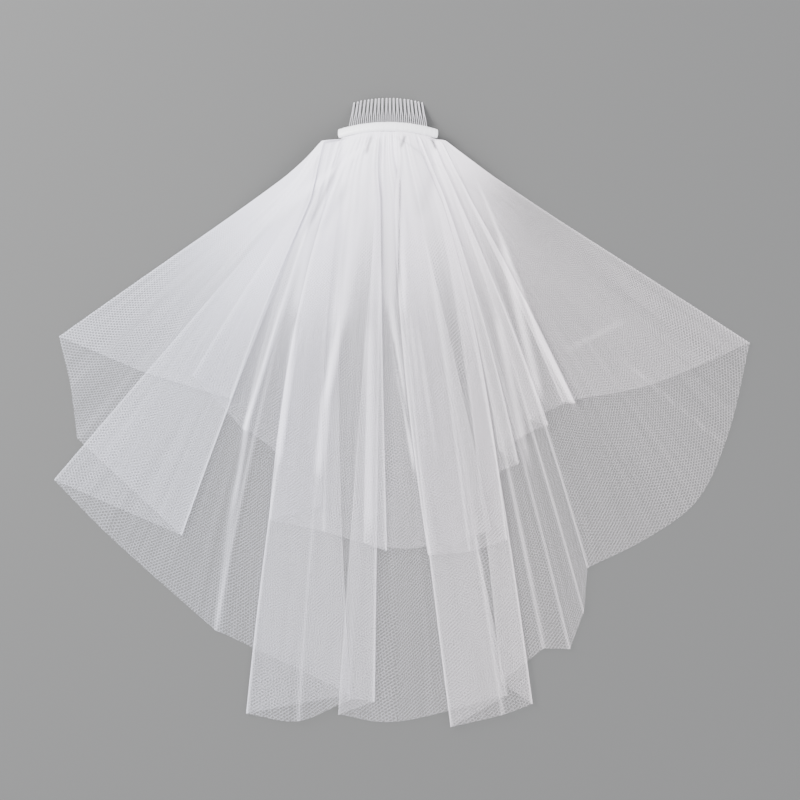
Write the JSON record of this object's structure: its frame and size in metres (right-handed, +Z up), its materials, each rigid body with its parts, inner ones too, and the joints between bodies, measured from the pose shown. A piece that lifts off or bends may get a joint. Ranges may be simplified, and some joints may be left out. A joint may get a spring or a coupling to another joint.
{
  "type": "short veil",
  "caption": "Short tulle veil in two gathered tiers with pleats, laid open flat, sewn under a satin ribbon to an arched silver wire hair comb.",
  "frame": {"origin": "middle of the whole object's box, on the surface that the veil lies on", "axes": "+Y from the hem towards the comb's teeth, +X across the comb to the right seen from above, +Z up from the surface"},
  "size_m": [0.685, 0.6184, 0.0361],
  "materials": {
    "tulle": "fine soft net, white, see-through",
    "satin_ribbon": "white satin, soft sheen",
    "silver_wire": "bright plated wire"
  },
  "bodies": {
    "root": {"lower_tier": "tulle", "upper_tier": "tulle", "ribbon_binding": "satin_ribbon", "comb_spine": "silver_wire", "comb_tooth_01": "silver_wire", "comb_tooth_02": "silver_wire", "comb_tooth_03": "silver_wire", "comb_tooth_04": "silver_wire", "comb_tooth_05": "silver_wire", "comb_tooth_06": "silver_wire", "comb_tooth_07": "silver_wire", "comb_tooth_08": "silver_wire", "comb_tooth_09": "silver_wire", "comb_tooth_10": "silver_wire", "comb_tooth_11": "silver_wire", "comb_tooth_12": "silver_wire", "comb_tooth_13": "silver_wire", "comb_tooth_14": "silver_wire", "comb_tooth_15": "silver_wire", "comb_tooth_16": "silver_wire", "comb_tooth_17": "silver_wire", "comb_tooth_18": "silver_wire", "comb_tooth_19": "silver_wire", "comb_tooth_20": "silver_wire"}
  },
  "joints": []
}
